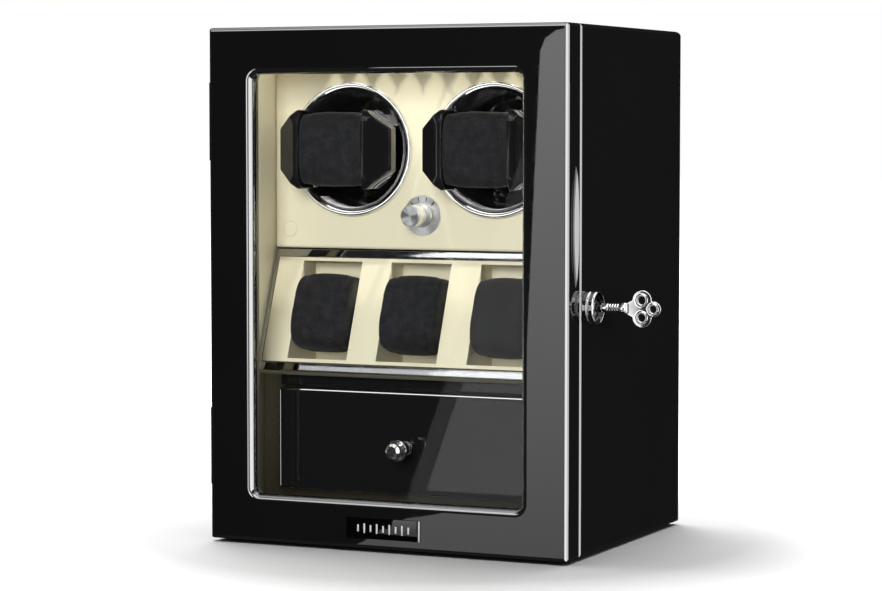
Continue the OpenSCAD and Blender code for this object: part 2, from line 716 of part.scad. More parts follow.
// ---- lock ----
module lock_housing() color(chrome) difference() {
  union() {
    cyl_x(lock_y, lock_z, lin_w - 2, lock_r, wall + lining_t + 2);
    turn_x(lock_y, lock_z) polygon([[0, hw], [10.5, hw], [10.5, hw + 2.9], [9.7, hw + 3.3],
                                    [9.7, hw + 4.1], [10.5, hw + 4.5], [10.5, hw + 6.8],
                                    [9.8, hw + 7.5], [9.3, hw + 7.5], [8.5, hw + 5.3],
                                    [6.6, hw + 4.6], [0, hw + 4.6]]);
  }
  cyl_x(lock_y, lock_z, lin_w - 3, 5.9, 40);
}
module lock_nut() color(steel) difference() {
  cyl_x(lock_y, lock_z, lin_w - 1.9, 10, 1.9);
  cyl_x(lock_y, lock_z, lin_w - 3, lock_r, 5);
  for (s = sides)
    translate([lin_w - 3, lock_y - 11, lock_z + (s > 0 ? 9 : -12)]) cube([5, 22, 3]);
}
module lock_plug() color(steel) difference() {
  cyl_x(lock_y, lock_z, cam_x + 2, 5.85, hw + 4.5 - cam_x - 2);
  cyl_x(lock_y, lock_z, hw - 12.5, 2.05, 30);
  translate([hw - 7.5, lock_y - 0.9, lock_z - 4.7]) cube([20, 1.8, 4.7]);
  cyl_x(lock_y, lock_z, cam_x, 1.5, 8);
}
module lock_cam() color(steel)
  along_x(cam_x, 2) translate([lock_y, lock_z]) difference() {
    union() {
      circle(5.5);
      translate([-4.5, 0]) square([9, cam_l - 4.5]);
      translate([0, cam_l - 4.5]) circle(4.5);
    }
    circle(1.5);
  }
module cam_screw() color(steel) {
  cyl_x(lock_y, lock_z, cam_x, 1.5, 7.5);
  difference() {
    cyl_x(lock_y, lock_z, cam_x - 1.2, 3, 1.2);
    translate([cam_x - 1.5, lock_y - 2.2, lock_z - 0.4]) cube([0.8, 4.4, 0.8]);
  }
}
module key() color(chrome) {
  x = hw + 4.8;
  translate([0, lock_y, lock_z]) {
    turn_x(0, 0) polygon([[0, hw - 12], [2, hw - 12], [2, x], [3.05, x], [3.05, x + 9],
                          for (i = [0:4]) each [[2.6, x + 9.6 + i * 1.7], [3.05, x + 10.4 + i * 1.7]],
                          [3.6, x + 17.7], [3.9, x + 18.4], [3.9, x + 20.6], [3, x + 21.6],
                          [0, x + 21.6]]);
    translate([hw - 7, -0.8, -4.5]) cube([7, 1.6, 4]);
    difference() {
      union() {
        along_y(-1.3, 2.6) polygon([[x + 20, -2.6], [x + 24, -5], [x + 28, -6], [x + 38, -2.6],
                                    [x + 38, 2.6], [x + 28, 6], [x + 24, 5], [x + 20, 2.6]]);
        for (s = sides) {
          cyl_y(x + 31.4, s * 5.35, -1.3, 6.2, 2.6);
          cyl_y(x + 31.4, s * 5.35, -1.7, 3.7, 3.4);
        }
        cyl_y(x + 38.9, 0, -1.3, 4.8, 2.6);
        cyl_y(x + 38.9, 0, -1.7, 3.3, 3.4);
      }
      for (s = sides)
        cyl_y(x + 31.4, s * 5.35, -3, 2.4, 6);
      cyl_y(x + 38.9, 0, -3, 2.2, 6);
    }
  }
}

cabinet_shell();
back_panel();
back_screws();
base_pad();
linings();
winder_panel();
mid_shelf();
tray_bezel();
storage_tray();
storage_cushions();
drawer_surround();
drawer_rail();
drawer_guides();
led_strip();
led_chips();
bezel_rings();
drive_plate();
bushings();
gear_motor();
drive_belts();
dial_plate();
rotary_switch();
control_board();
button_switch();
dc_jack();
wiring();
hinge_leaves_body();
hinge_screws_body();
lock_housing();
lock_nut();
cup_left();
pillow_left();
pillow_caps_left();
shaft_left();
pulley_left();
cup_right();
pillow_right();
pillow_caps_right();
shaft_right();
pulley_right();
motor_pulley();
mode_knob();
led_button();
door_frame();
door_glass();
glass_bead();
badge();
hinge_leaves_door();
hinge_screws_door();
strike_plate();
door_bumpers();
drawer_front();
drawer_box();
drawer_lining();
drawer_knob();
knob_screw();
lock_plug();
lock_cam();
cam_screw();
key();
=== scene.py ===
"""Looks for the watch winder box: finishes, soft goods, polished edges, light and camera.

Everything is in metres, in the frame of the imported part: X right, Y back, Z up.
"""

import json
import math

import bmesh
import bpy
from mathutils import Matrix, Vector, noise

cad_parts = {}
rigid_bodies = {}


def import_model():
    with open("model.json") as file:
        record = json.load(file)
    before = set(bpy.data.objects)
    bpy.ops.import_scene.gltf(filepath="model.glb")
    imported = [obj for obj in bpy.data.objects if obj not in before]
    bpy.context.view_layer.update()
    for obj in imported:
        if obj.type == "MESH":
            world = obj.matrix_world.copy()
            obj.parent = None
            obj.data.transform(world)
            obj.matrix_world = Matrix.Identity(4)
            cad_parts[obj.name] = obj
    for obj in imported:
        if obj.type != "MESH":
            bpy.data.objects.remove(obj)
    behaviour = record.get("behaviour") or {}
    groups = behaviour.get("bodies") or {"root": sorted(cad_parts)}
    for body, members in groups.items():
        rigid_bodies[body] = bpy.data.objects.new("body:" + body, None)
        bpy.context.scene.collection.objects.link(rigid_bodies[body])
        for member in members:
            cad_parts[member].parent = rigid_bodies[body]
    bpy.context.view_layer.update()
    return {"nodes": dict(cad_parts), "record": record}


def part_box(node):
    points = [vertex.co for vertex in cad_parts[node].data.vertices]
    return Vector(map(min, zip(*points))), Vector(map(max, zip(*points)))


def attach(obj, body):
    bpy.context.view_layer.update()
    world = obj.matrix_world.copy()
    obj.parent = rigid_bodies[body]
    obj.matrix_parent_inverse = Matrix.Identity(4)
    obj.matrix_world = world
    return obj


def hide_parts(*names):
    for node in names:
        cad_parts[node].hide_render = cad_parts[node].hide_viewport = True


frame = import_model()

NODES = frame["nodes"]
MM = 0.001
SIDES = ("left", "right")
CENTRE = Vector((0, 0, 0.167))  # what the lamps and the studio's walls stand around

# Lacquer: its index of refraction on flat faces and on rounded edges, and the largest part
# of the normal along one axis at which a face counts as rounded or as flat
FLAT_IOR, EDGE_IOR = 1.5, 4.0
ROUNDED, FLAT = 0.97, 0.998

# Edges sharper than this get rounded, and shading stays sharp across the second one
CREASE, SHARP = math.radians(32), math.radians(50)

# Soft goods: size and slope of the storage cushions, then the forms of both kinds, each with
# the roundness of its section, how much its ends draw in, and place and depth of its seams
CUSHION_SIZE = (38 * MM, 33 * MM, 51 * MM)
CUSHION_TILT = math.radians(21)
PILLOW_FORM = {"exponent": 3.2, "crown": 0.07, "seam_at": 0.8, "seam_depth": 0.035}
CUSHION_FORM = {"exponent": 2.9, "crown": 0.08, "seam_at": 0.78, "seam_depth": 0.03}

# Painted details: depth and radius of the dish in the lock's chrome flange, painted gloss black
# as a painted dark reflection, inner and outer radius of the ring that the dial's ticks lie in,
# and how deep the ticks are
DISH_DEPTH, DISH_RADIUS = 3.5 * MM, 9.25 * MM
TICKS_FROM, TICKS_TO, TICK_DEPTH = 9 * MM, 12 * MM, 0.1 * MM

# Studio: distances of the lamps, of the walls and cards, and the radii between which a painted
# glow on the floor rises from nothing to full white
LAMP_DISTANCE = 2.2
FAN_DISTANCE = 1.5
WALL_DISTANCE = 1.5
CARD_Y = -1.5
SHADOW_ENDS, FLOOR_WHITE = 0.2, 0.42

# Light strip: number of emitters, the first one that is lit, how far below it each lamp
# aims at the panel, the power and the width of its beam
EMITTERS, FIRST_LIT = 12, 2
BEAM_DROP, BEAM_WATTS, BEAM_WIDTH = 40 * MM, 1.5, math.radians(44)
WARM_WHITE = (1.0, 0.97, 0.88)

# Camera: bearing, elevation and distance from the point it aims at, how far that point is
# from the middle of the box, and the lens
CAMERA_BEARING, CAMERA_ELEVATION, CAMERA_DISTANCE = 24.906, 3.489, 1.8358
AIM_OFFSET = Vector((-5.3, -2.5, -9.6)) * MM
CAMERA_LENS, CAMERA_SENSOR = 113.5, 36


def middle(node):
    """Centre of a CAD node's box."""
    low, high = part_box(node)
    return (low + high) / 2


# ---------------------------------------------------------------- material kit
class Finish:
    """One Principled material and short calls for the nodes that drive it."""

    def __init__(self, name, colour=(0.5, 0.5, 0.5), roughness=0.5, metallic=0.0):
        self.material = bpy.data.materials.new(name)
        self.material.use_nodes = True
        self.tree = self.material.node_tree
        self.shader = self.tree.nodes["Principled BSDF"]
        self.set("Base Color", (*colour, 1.0))
        self.set("Roughness", roughness)
        self.set("Metallic", metallic)
        self.place = self.add("ShaderNodeTexCoord").outputs["Object"]

    def add(self, kind, **settings):
        """A new node of a kind, with its settings."""
        node = self.tree.nodes.new(kind)
        for key, value in settings.items():
            setattr(node, key, value)
        return node

    def link(self, source, target):
        self.tree.links.new(source, target)

    def set(self, socket, value):
        """Gives an input of the shader a fixed value."""
        self.shader.inputs[socket].default_value = value

    def drive(self, socket, source):
        """Lets a socket drive an input of the shader."""
        self.link(source, self.shader.inputs[socket])

    def stretched(self, scale):
        """The place coordinate scaled by a vector, for grain that runs one way."""
        node = self.add("ShaderNodeMapping")
        node.inputs["Scale"].default_value = scale
        self.link(self.place, node.inputs["Vector"])
        return node.outputs["Vector"]

    def noise(self, per_metre, detail=2.0, rough=0.5, place=None):
        """Cloudy noise with so many waves to the metre."""
        node = self.add("ShaderNodeTexNoise")
        node.inputs["Scale"].default_value = per_metre
        node.inputs["Detail"].default_value = detail
        node.inputs["Roughness"].default_value = rough
        self.link(place or self.place, node.inputs["Vector"])
        return node.outputs["Fac"]

    def cells(self, per_metre):
        """Distance to the borders between small cells."""
        node = self.add("ShaderNodeTexVoronoi", feature="DISTANCE_TO_EDGE")
        node.inputs["Scale"].default_value = per_metre
        self.link(self.place, node.inputs["Vector"])
        return node.outputs["Distance"]

    def ranged(self, source, low, high, new_low, new_high):
        """Maps one range of a socket's values to another, and clamps it there."""
        node = self.add("ShaderNodeMapRange")
        for key, value in zip(("From Min", "From Max", "To Min", "To Max"),
                              (low, high, new_low, new_high)):
            node.inputs[key].default_value = value
        self.link(source, node.inputs["Value"])
        return node.outputs["Result"]

    def blend(self, factor, first, second):
        """Mixes two colours, each a tuple or a socket, by a factor socket."""
        node = self.add("ShaderNodeMix", data_type="RGBA")
        self.link(factor, node.inputs[0])
        for index, value in ((6, first), (7, second)):
            if isinstance(value, tuple):
                node.inputs[index].default_value = (*value, 1.0)
            else:
                self.link(value, node.inputs[index])
        return node.outputs[2]

    def maths(self, first, second, operation="ADD"):
        """Adds two values, each a float or a socket, or puts another operation to them."""
        node = self.add("ShaderNodeMath", operation=operation)
        for index, value in enumerate((first, second)):
            if isinstance(value, float):
                node.inputs[index].default_value = value
            else:
                self.link(value, node.inputs[index])
        return node.outputs["Value"]

    def bump(self, height, strength, depth, below=None):
        """Relief from a height socket, on top of another relief if one is given."""
        node = self.add("ShaderNodeBump")
        node.inputs["Strength"].default_value = strength
        node.inputs["Distance"].default_value = depth
        self.link(height, node.inputs["Height"])
        if below is not None:
            self.link(below, node.inputs["Normal"])
        self.drive("Normal", node.outputs["Normal"])
        return node.outputs["Normal"]


# ---------------------------------------------------------------- finishes
def piano_lacquer(name="piano_lacquer"):
    """Polished black with faint clouds and long waves. Gives the Finish, not its material,
    so that another finish can build on it."""
    f = Finish(name, (0.0075, 0.0075, 0.0078), 0.035)
    cloudy = f.noise(9, 3)
    f.drive("Base Color", f.blend(cloudy, (0.0065, 0.0065, 0.0068), (0.0085, 0.0085, 0.009)))
    polish = f.noise(160, 6, 0.7)
    f.drive("Roughness", f.ranged(polish, 0.35, 0.75, 0.0, 0.03))
    f.set("IOR", FLAT_IOR)
    f.bump(f.noise(22, 2), 0.012, 0.4 * MM)
    return f


def edge_lacquer():
    """The same lacquer on the door, the cabinet and the drawer front. Its rounded edges
    mirror more than its flat faces, so that lines of light show on the edges alone."""
    f = piano_lacquer("edge_lacquer")
    parts = f.add("ShaderNodeSeparateXYZ")
    f.link(f.add("ShaderNodeTexCoord").outputs["Normal"], parts.inputs["Vector"])
    x, y, z = [f.maths(parts.outputs[axis], 0.0, "ABSOLUTE") for axis in "XYZ"]
    straight = f.maths(f.maths(x, y, "MAXIMUM"), z, "MAXIMUM")
    f.drive("IOR", f.ranged(straight, ROUNDED, FLAT, EDGE_IOR, FLAT_IOR))
    return f.material


def cream_leatherette():
    """Cream covering with fine pores and slightly uneven shine."""
    f = Finish("cream_leatherette", roughness=0.5)
    patch = f.noise(35, 3)
    grain = f.cells(1500)
    pores = f.ranged(grain, 0.0, 0.06, 0.0, 1.0)
    base = f.blend(patch, (0.78, 0.724, 0.54), (0.82, 0.762, 0.576))
    f.drive("Base Color", f.blend(pores, (0.70, 0.645, 0.46), base))
    f.drive("Roughness", f.ranged(patch, 0.3, 0.7, 0.42, 0.56))
    fine = f.bump(f.noise(5200, 2), 0.12, 0.08 * MM)
    f.bump(pores, 0.22, 0.10 * MM, fine)
    return f.material


def metal(name, colour, roughness, spread, scratches=0.0):
    """Plated or plain metal with uneven polish and faint handling marks."""
    f = Finish(name, colour, roughness, 1.0)
    uneven = f.noise(120, 5, 0.65)
    f.drive("Roughness", f.ranged(uneven, 0.3, 0.75, roughness - spread, roughness + spread))
    darker = tuple(c * 0.86 for c in colour)
    f.drive("Base Color", f.blend(f.noise(420, 3), darker, colour))
    if scratches:
        f.bump(f.noise(900, 4, 0.7), scratches, 0.05 * MM)
    return f.material


def spun_aluminium():
    """Aluminium turned on a lathe: fine rings round the Y axis and a fan of highlights."""
    f = Finish("spun_aluminium", (0.78, 0.78, 0.79), 0.28, 1.0)
    split = f.add("ShaderNodeSeparateXYZ")
    f.link(f.place, split.inputs["Vector"])
    dial = middle("mode_knob")
    dx = f.maths(split.outputs["X"], -dial.x)
    dz = f.maths(split.outputs["Z"], -dial.z)
    squares = f.maths(f.maths(dx, dx, "MULTIPLY"), f.maths(dz, dz, "MULTIPLY"))
    radius = f.maths(squares, 0.5, "POWER")
    merge = f.add("ShaderNodeCombineXYZ")
    f.link(radius, merge.inputs["X"])
    rings = f.noise(6500, 3, 0.6, merge.outputs["Vector"])
    f.drive("Roughness", f.ranged(rings, 0.3, 0.7, 0.2, 0.36))
    f.drive("Base Color", f.blend(rings, (0.72, 0.72, 0.73), (0.92, 0.92, 0.93)))
    f.bump(rings, 0.12, 0.03 * MM)
    f.set("Anisotropic", 0.85)
    turn = f.add("ShaderNodeTangent", direction_type="RADIAL", axis="Y")
    f.drive("Tangent", turn.outputs["Tangent"])
    return f.material


def black_suede():
    """Napped fabric: brushed patches, fibre grain and a soft sheen."""
    f = Finish("black_suede", roughness=0.95)
    brushed = f.noise(170, 4, 0.6)
    fibre = f.noise(2600, 4, 0.75)
    nap = f.blend(f.ranged(fibre, 0.4, 0.78, 0.0, 1.0), (0.004, 0.004, 0.0045),
                  (0.09, 0.09, 0.097))
    f.drive("Base Color", f.blend(f.ranged(brushed, 0.35, 0.65, 0.0, 0.6), nap,
                                  (0.010, 0.010, 0.011)))
    f.set("Sheen Weight", 0.12)
    f.set("Sheen Roughness", 0.4)
    f.set("Sheen Tint", (0.75, 0.76, 0.8, 1.0))
    f.set("Specular IOR Level", 0.25)
    f.bump(fibre, 0.55, 0.25 * MM)
    return f.material


def silver_print():
    """Bright ink with a metallic flake."""
    f = Finish("silver_print", (0.8, 0.8, 0.8), 0.35, 0.35)
    flake = f.noise(4200, 3, 0.7)
    f.drive("Base Color", f.blend(flake, (0.62, 0.62, 0.63), (0.86, 0.86, 0.87)))
    f.drive("Roughness", f.ranged(flake, 0.3, 0.7, 0.28, 0.45))
    return f.material


def badge_black():
    """Deep black enamel that mirrors less than the lacquer."""
    f = Finish("badge_black", (0.001, 0.001, 0.001), 0.03)
    f.set("IOR", 1.4)
    f.drive("Roughness", f.ranged(f.noise(300, 4), 0.35, 0.75, 0.02, 0.05))
    f.bump(f.noise(60, 2), 0.02, 0.2 * MM)
    return f.material


def felt(name, dark, light):
    """Short pile between two shades."""
    f = Finish(name, light, 0.98)
    pile = f.noise(1900, 5, 0.8)
    f.drive("Base Color", f.blend(pile, dark, light))
    f.set("Sheen Weight", 0.3)
    f.set("Specular IOR Level", 0.15)
    f.bump(pile, 0.5, 0.25 * MM)
    return f.material


def moulded_plastic(name, colour, roughness, texture=0.15):
    """Plastic as it comes out of a mould with a fine texture."""
    f = Finish(name, colour, roughness)
    mottled = f.noise(60, 3)
    f.drive("Base Color", f.blend(mottled, tuple(c * 0.85 for c in colour), colour))
    f.drive("Roughness", f.ranged(f.noise(700, 3), 0.3, 0.7, roughness * 0.8, roughness * 1.2))
    f.bump(f.noise(2400, 2), texture, 0.06 * MM)
    return f.material


def gloss_black():
    """Gloss black moulding with long waves."""
    f = Finish("gloss_black", (0.009, 0.009, 0.01), 0.06)
    f.drive("Roughness", f.ranged(f.noise(140, 5, 0.7), 0.35, 0.75, 0.04, 0.10))
    f.bump(f.noise(45, 2), 0.03, 0.3 * MM)
    return f.material


def birch():
    """Plain plywood: long grain with darker pores."""
    f = Finish("birch", roughness=0.6)
    long_grain = f.noise(90, 6, 0.6, f.stretched((0.12, 1.0, 1.0)))
    pores = f.noise(900, 3, 0.6, f.stretched((0.08, 1.0, 1.0)))
    base = f.blend(long_grain, (0.50, 0.35, 0.19), (0.70, 0.53, 0.33))
    f.drive("Base Color", f.blend(f.ranged(pores, 0.35, 0.6, 0.0, 0.8), (0.36, 0.24, 0.12), base))
    f.bump(pores, 0.2, 0.1 * MM)
    return f.material


def rubber():
    """Matt black with a fine grain."""
    f = Finish("rubber", (0.02, 0.02, 0.02), 0.75)
    f.drive("Roughness", f.ranged(f.noise(300, 3), 0.3, 0.7, 0.62, 0.85))
    f.bump(f.noise(1500, 2), 0.2, 0.08 * MM)
    return f.material


def circuit_board():
    """Solder mask with straight traces from two striped fields."""
    f = Finish("circuit_board", roughness=0.35)
    stripes = f.add("ShaderNodeTexBrick")
    stripes.inputs["Scale"].default_value = 260
    stripes.inputs["Mortar Size"].default_value = 0.03
    f.link(f.place, stripes.inputs["Vector"])
    traces = f.ranged(stripes.outputs["Fac"], 0.0, 1.0, 0.0, 1.0)
    f.drive("Base Color", f.blend(traces, (0.012, 0.11, 0.045), (0.05, 0.26, 0.12)))
    f.bump(traces, 0.3, 0.05 * MM)
    return f.material


def clear_glass():
    """Float glass that mirrors and bends sight but lets lamps shine through."""
    f = Finish("clear_glass", (0.99, 1.0, 0.993), 0.0)
    f.set("Transmission Weight", 1.0)
    f.set("IOR", 1.22)
    f.drive("Roughness", f.ranged(f.noise(40, 4), 0.4, 0.8, 0.0, 0.004))
    through = f.add("ShaderNodeBsdfTransparent")
    through.inputs["Color"].default_value = (0.975, 0.98, 0.975, 1.0)
    rays = f.add("ShaderNodeLightPath")
    soft = f.maths(rays.outputs["Is Shadow Ray"], rays.outputs["Is Diffuse Ray"], "MAXIMUM")
    mix = f.add("ShaderNodeMixShader")
    f.link(soft, mix.inputs[0])
    f.link(f.shader.outputs[0], mix.inputs[1])
    f.link(through.outputs[0], mix.inputs[2])
    output = f.tree.nodes["Material Output"]
    f.link(mix.outputs[0], output.inputs["Surface"])
    return f.material


def lit_emitter():
    """Warm white emitters of the light strip."""
    f = Finish("lit_emitter", (1.0, 0.95, 0.8), 0.4)
    glow = f.noise(800, 1)
    f.drive("Emission Strength", f.ranged(glow, 0.0, 1.0, 5.0, 7.0))
    f.set("Emission Color", (1.0, 0.93, 0.76, 1.0))
    return f.material


FINISHES = {
    "lacquer": piano_lacquer().material,
    "edge_lacquer": edge_lacquer(),
    "leatherette": cream_leatherette(),
    "chrome": metal("chrome", (0.9, 0.9, 0.91), 0.05, 0.03),
    "dark_chrome": metal("dark_chrome", (0.52, 0.52, 0.53), 0.05, 0.03),
    "steel": metal("zinc_steel", (0.62, 0.63, 0.65), 0.3, 0.09, 0.1),
    "brass": metal("satin_brass", (0.78, 0.60, 0.29), 0.26, 0.08, 0.08),
    "spun": spun_aluminium(),
    "suede": black_suede(),
    "black_felt": felt("black_felt", (0.008, 0.008, 0.009), (0.035, 0.035, 0.038)),
    "grey_felt": felt("drawer_felt", (0.30, 0.275, 0.20), (0.55, 0.51, 0.40)),
    "gloss": gloss_black(),
    "badge_black": badge_black(),
    "silver_print": silver_print(),
    "plastic": moulded_plastic("black_plastic", (0.022, 0.022, 0.024), 0.5),
    "nylon": moulded_plastic("nylon", (0.78, 0.77, 0.72), 0.45),
    "white_board": moulded_plastic("white_board", (0.8, 0.8, 0.76), 0.4, 0.05),
    "birch": birch(),
    "rubber": rubber(),
    "board": circuit_board(),
    "glass": clear_glass(),
    "emitter": lit_emitter(),
}

# Finish of each CAD node that is shown as packed
AS_PACKED = {
    "cabinet_shell": "edge_lacquer", "door_frame": "edge_lacquer", "drawer_front": "edge_lacquer",
    "winder_panel": "leatherette", "glass_bead": "leatherette",
    "bezel_rings": "chrome", "door_glass": "glass", "wiring": "plastic",
    "drive_belts": "rubber", "led_strip": "white_board", "led_chips": "emitter",
}
# Finish and edge rounding in millimetres of each node that gets polished edges
SOFTENED = {
    "tray_bezel": ("dark_chrome", 0.8), "drawer_rail": ("lacquer", 0.5),
    "linings": ("leatherette", 0.5), "mid_shelf": ("leatherette", 0.4),
    "storage_tray": ("leatherette", 0.9), "drawer_surround": ("leatherette", 0.6),
    "led_button": ("leatherette", 0.5), "cup_left": ("gloss", 0.5), "cup_right": ("gloss", 0.5),
    "back_panel": ("plastic", 0.5), "base_pad": ("black_felt", 0.5),
    "drawer_box": ("birch", 0.5), "drawer_guides": ("birch", 0.4),
    "drawer_lining": ("grey_felt", 0.3), "drive_plate": ("birch", 0.4),
    "dial_plate": ("spun", 0.15), "mode_knob": ("spun", 0.25),
    "drawer_knob": ("chrome", 0.55), "lock_housing": ("chrome", 0.4),
    "lock_plug": ("chrome", 0.2), "lock_cam": ("steel", 0.3), "lock_nut": ("steel", 0.3),
    "cam_screw": ("steel", 0.2), "knob_screw": ("steel", 0.3), "back_screws": ("steel", 0.3),
    "strike_plate": ("steel", 0.25), "gear_motor": ("steel", 0.5),
    "shaft_left": ("steel", 0.2), "shaft_right": ("steel", 0.2),
    "hinge_leaves_body": ("brass", 0.25), "hinge_leaves_door": ("brass", 0.25),
    "hinge_screws_body": ("brass", 0.2), "hinge_screws_door": ("brass", 0.2),
    "bushings": ("brass", 0.2), "pulley_left": ("nylon", 0.3), "pulley_right": ("nylon", 0.3),
    "motor_pulley": ("nylon", 0.2), "door_bumpers": ("rubber", 0.3),
    "rotary_switch": ("plastic", 0.4), "button_switch": ("plastic", 0.3),
    "dc_jack": ("plastic", 0.3), "control_board": ("board", 0.2),
}


# ---------------------------------------------------------------- shape kit
def new_piece(name, mesh_data, finish, body, stands_for=()):
    """Makes an object from a bmesh, with its finish, body and the nodes it stands for."""
    mesh = bpy.data.meshes.new(name)
    mesh_data.to_mesh(mesh)
    mesh_data.free()
    mesh.shade_smooth()
    made = bpy.data.objects.new(name, mesh)
    bpy.context.scene.collection.objects.link(made)
    for item in finish if isinstance(finish, list) else [finish]:
        mesh.materials.append(FINISHES[item])
    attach(made, body)
    if stands_for:
        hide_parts(*stands_for)
    return made


def body_of(node):
    """The moving body that a node belongs to."""
    bodies = frame["record"]["behaviour"]["bodies"]
    return next(body for body, members in bodies.items() if node in members)


def clean_copy(node):
    """A CAD node's mesh with its flat faces joined up, as a bmesh."""
    shape = bmesh.new()
    shape.from_mesh(NODES[node].data)
    bmesh.ops.remove_doubles(shape, verts=shape.verts, dist=0.002 * MM)
    bmesh.ops.dissolve_limit(shape, angle_limit=math.radians(0.6), verts=shape.verts,
                             edges=shape.edges)
    return shape


def piece(name):
    """A piece that this script has made, by its name."""
    return bpy.data.objects[name]


def soften(node, finish, width, segments=3):
    """Stands for a CAD node with the same shape and rounded edges."""
    shape = clean_copy(node)
    edges = [e for e in shape.edges if e.is_manifold and e.calc_face_angle(0.0) > CREASE]
    bmesh.ops.bevel(shape, geom=edges, offset=width * MM, segments=segments, profile=0.5,
                    affect="EDGES", clamp_overlap=True)
    rounded = new_piece(node + "_piece", shape, finish, body_of(node), (node,))
    rounded.data.set_sharp_from_angle(angle=SHARP)
    weighted = rounded.modifiers.new("even_normals", "WEIGHTED_NORMAL")
    weighted.keep_sharp = True


def dress_packed_nodes():
    """Gives every CAD node its finish, and polished edges to those that get them."""
    for node, finish in AS_PACKED.items():
        NODES[node].material_slots[0].material = FINISHES[finish]
    for node, (finish, width) in SOFTENED.items():
        soften(node, finish, width)


# ---------------------------------------------------------------- pillows and cushions
def padded_block(size, exponent, crown, seam_at, seam_depth):
    """Padded roll along X: rounded section, swollen middle, drawn in at its end seams."""
    rings, corners = 28, 72
    seam_width, cap_rings, cap_bulge = 0.045, 5, 1.2 * MM
    half = Vector(size) / 2
    shape = bmesh.new()

    def section(x, scale):
        """One loop of corners across the roll, with broad and fine dents."""
        loop = []
        for k in range(corners):
            a = 2 * math.pi * k / corners
            c, s = math.cos(a), math.sin(a)
            y = math.copysign(abs(c) ** (2 / exponent), c) * half.y * scale
            z = math.copysign(abs(s) ** (2 / exponent), s) * half.z * scale
            p = Vector((x, y, z))
            dent = noise.noise(p * 95) * 0.35 * MM + noise.noise(p * 320) * 0.1 * MM
            loop.append(shape.verts.new(p + p.normalized() * dent * min(1.0, scale)))
        return loop

    loops = []
    for i in range(rings + 1):
        u = -1 + 2 * i / rings
        swell = 1 - crown * abs(u) ** 3
        gap = abs(abs(u) - seam_at)
        swell -= seam_depth * math.exp(-((gap / seam_width) ** 2))
        loops.append(section(u * half.x, swell))
    for sign, outermost in ((-1, loops[0]), (1, loops[-1])):
        cap = []
        for step in range(1, cap_rings):
            t = step / cap_rings
            x = sign * (half.x + cap_bulge * math.sin(t * math.pi / 2))
            cap.append(section(x, (1 - crown) * math.cos(t * math.pi / 2) ** 0.6))
        chain = [outermost] + cap
        for a, b in zip(chain, chain[1:]):
            stitch(shape, a, b)
        shape.faces.new(cap[-1])
    for a, b in zip(loops, loops[1:]):
        stitch(shape, a, b)
    bmesh.ops.recalc_face_normals(shape, faces=shape.faces)
    return shape


def stitch(shape, first, second):
    """Quads between two loops of equal length."""
    count = len(first)
    for k in range(count):
        j = (k + 1) % count
        shape.faces.new((first[k], first[j], second[j], second[k]))


def winder_pillow(side):
    """The padded middle of the pillow in one cup."""
    node = f"pillow_{side}"
    low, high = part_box(node)
    shape = padded_block(high - low, **PILLOW_FORM)
    bmesh.ops.translate(shape, verts=shape.verts, vec=(low + high) / 2)
    new_piece(f"{node}_pad", shape, "suede", f"turntable_{side}", (node,))


def pillow_ends(side):
    """The gloss ends of that pillow, with rounder edges than other pieces."""
    soften(f"pillow_caps_{side}", "gloss", 1.1, 4)


def storage_pads():
    """Three watch cushions lying on the slope of the tray."""
    node = "storage_cushions"
    low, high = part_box(node)
    pitch = (high.x - low.x - CUSHION_SIZE[0]) / 2
    centre = (low + high) / 2
    for index, name in enumerate(("left", "middle", "right")):
        shape = padded_block(CUSHION_SIZE, **CUSHION_FORM)
        turn = Matrix.Rotation(-CUSHION_TILT, 4, "X")
        place = Matrix.Translation((centre.x + (index - 1) * pitch, centre.y, centre.z))
        bmesh.ops.transform(shape, matrix=place @ turn, verts=shape.verts)
        stands = (node,) if index == 0 else ()
        new_piece(f"storage_pad_{name}", shape, "suede", "cabinet", stands)


# ---------------------------------------------------------------- small metalwork
def cast_key():
    """The key as a cast and plated piece: every edge flows."""
    shape = clean_copy("key")
    key = new_piece("key_cast", shape, "chrome", "key", ("key",))
    remesh = key.modifiers.new("cast", "REMESH")
    remesh.mode = "VOXEL"
    remesh.voxel_size = 0.28 * MM
    remesh.use_smooth_shade = True
    smooth = key.modifiers.new("polished", "SMOOTH")
    smooth.factor = 0.5
    smooth.iterations = 6


def paint_where(painted, finish, chosen):
    """Gives a second finish to the faces whose centre a test picks out."""
    painted.data.materials.append(FINISHES[finish])
    slot = len(painted.data.materials) - 1
    for polygon in painted.data.polygons:
        if chosen(polygon.center):
            polygon.material_index = slot


def paint_details():
    """Painted reflection: the dish in the lock's chrome flange painted gloss black for the dark
    it mirrors; black ticks on the dial.
    """
    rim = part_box("lock_housing")[1].x
    axis = middle("lock_plug")
    # Painted reflection: gloss black on the chrome dish stands for the dark room it mirrors
    paint_where(piece("lock_housing_piece"), "gloss",
                lambda c: c.x > rim - DISH_DEPTH
                and math.hypot(c.y - axis.y, c.z - axis.z) < DISH_RADIUS)
    dial = middle("dial_plate")
    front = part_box("dial_plate")[0].y
    paint_where(piece("dial_plate_piece"), "plastic",
                lambda c: c.y > front + TICK_DEPTH
                and TICKS_FROM < math.hypot(c.x - dial.x, c.z - dial.z) < TICKS_TO)


